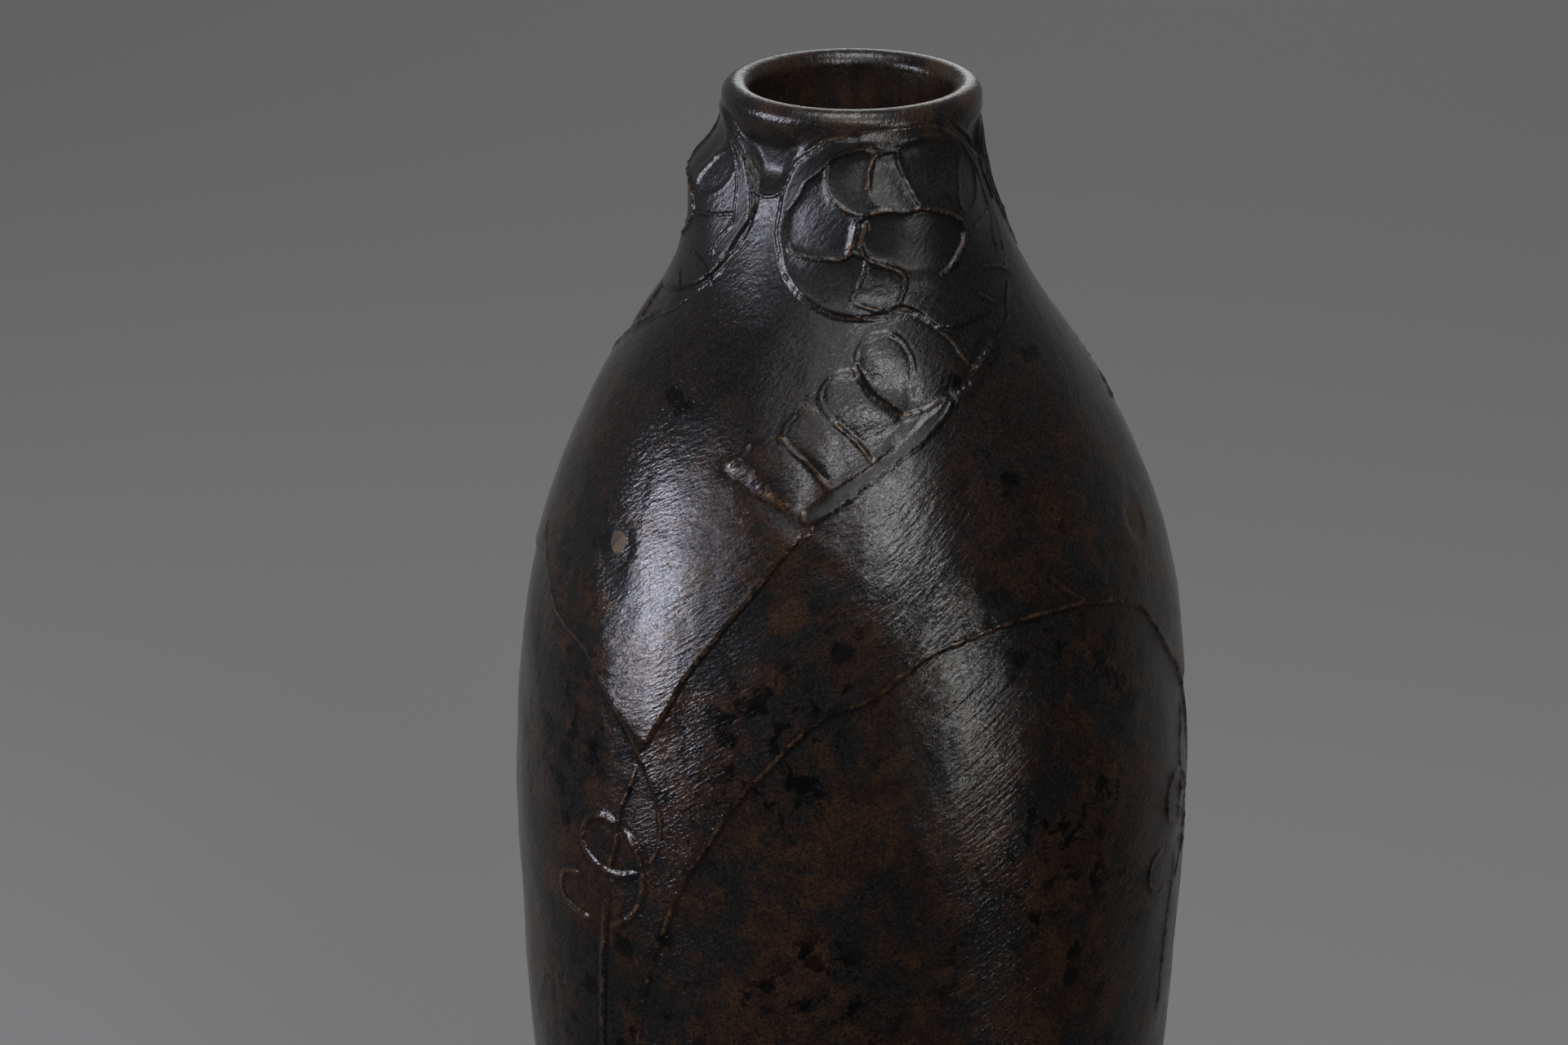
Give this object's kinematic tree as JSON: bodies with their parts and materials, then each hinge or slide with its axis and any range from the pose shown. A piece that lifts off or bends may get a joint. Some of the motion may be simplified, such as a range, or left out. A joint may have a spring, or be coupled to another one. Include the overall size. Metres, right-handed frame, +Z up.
{
  "type": "bronze vase",
  "caption": "Cast bronze vase: tall egg-shaped body, narrow neck with a full-round lip, low relief of fern croziers and whiplash stems, soldered-in base plate.",
  "frame": {"origin": "centre of the foot's resting face", "axes": "+Z up along the vase's axis, -Y towards the side that the picture shows"},
  "size_m": [0.1112, 0.1104, 0.25],
  "materials": {
    "patinated_bronze": "dark blue-black and brown patina, waxed, semi-gloss",
    "plug_bronze": "dark patina, filed flush, a little browner than the wall",
    "base_bronze": "brown, filed, dull",
    "soft_solder": "dull grey, uneven"
  },
  "bodies": {
    "root": {"vessel_body": "patinated_bronze", "base_plate": "base_bronze", "base_solder_seam": "soft_solder", "core_plug_1": "plug_bronze", "core_plug_2": "plug_bronze", "core_plug_3": "plug_bronze", "core_plug_4": "plug_bronze", "core_plug_5": "plug_bronze", "core_plug_6": "plug_bronze"}
  },
  "joints": []
}
